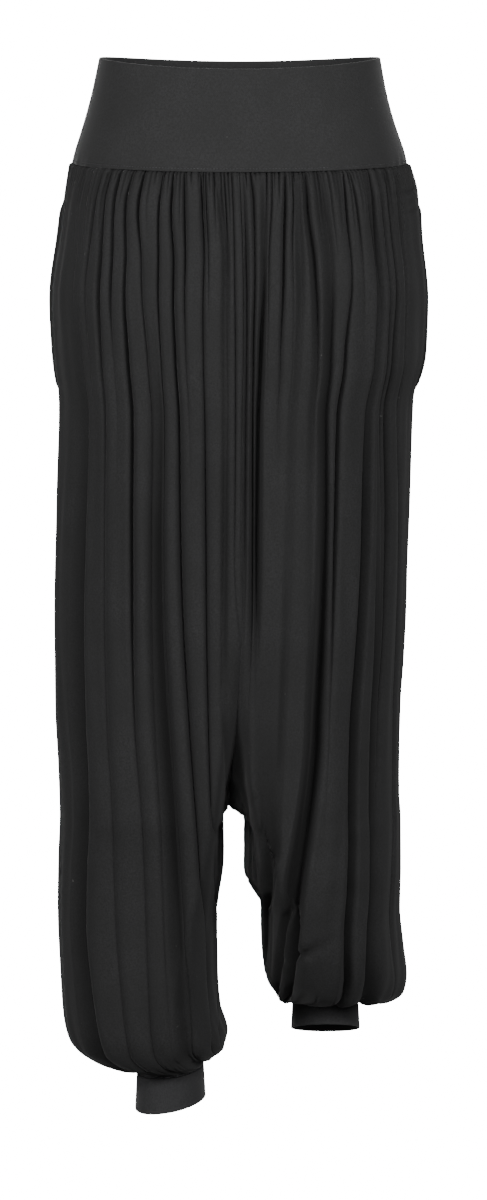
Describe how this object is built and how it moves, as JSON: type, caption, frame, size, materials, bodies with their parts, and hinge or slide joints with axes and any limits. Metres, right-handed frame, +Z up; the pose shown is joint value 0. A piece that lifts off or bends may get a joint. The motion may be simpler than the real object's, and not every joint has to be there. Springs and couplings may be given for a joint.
{
  "type": "harem pants",
  "caption": "Lightweight black jersey harem pants, worn: wide plain stretch yoke, gathered legs, dropped crotch, side pockets and narrow ankle cuffs.",
  "frame": {"origin": "middle of the waist opening, on the line where the yoke's top edge meets the side seams", "axes": "+Z up, out of the waist opening; +X to the wearer's left; +Y to the wearer's back"},
  "size_m": [0.3549, 0.3717, 1.0091],
  "materials": {
    "waistband_back": "matte black jersey",
    "waistband_front": "matte black jersey",
    "back_left": "matte black jersey",
    "back_right": "matte black jersey",
    "front_left": "matte black jersey",
    "front_right": "matte black jersey",
    "pocket_left": "matte black jersey",
    "pocket_right": "matte black jersey",
    "cuff_left": "matte black jersey",
    "cuff_right": "matte black jersey",
    "tack_left": "matte black jersey",
    "tack_right": "matte black jersey"
  },
  "bodies": {
    "root": {"waistband_back": "waistband_back", "waistband_front": "waistband_front", "back_left": "back_left", "back_right": "back_right", "front_left": "front_left", "front_right": "front_right", "pocket_left": "pocket_left", "pocket_right": "pocket_right", "cuff_left": "cuff_left", "cuff_right": "cuff_right", "tack_left": "tack_left", "tack_right": "tack_right"}
  },
  "joints": []
}
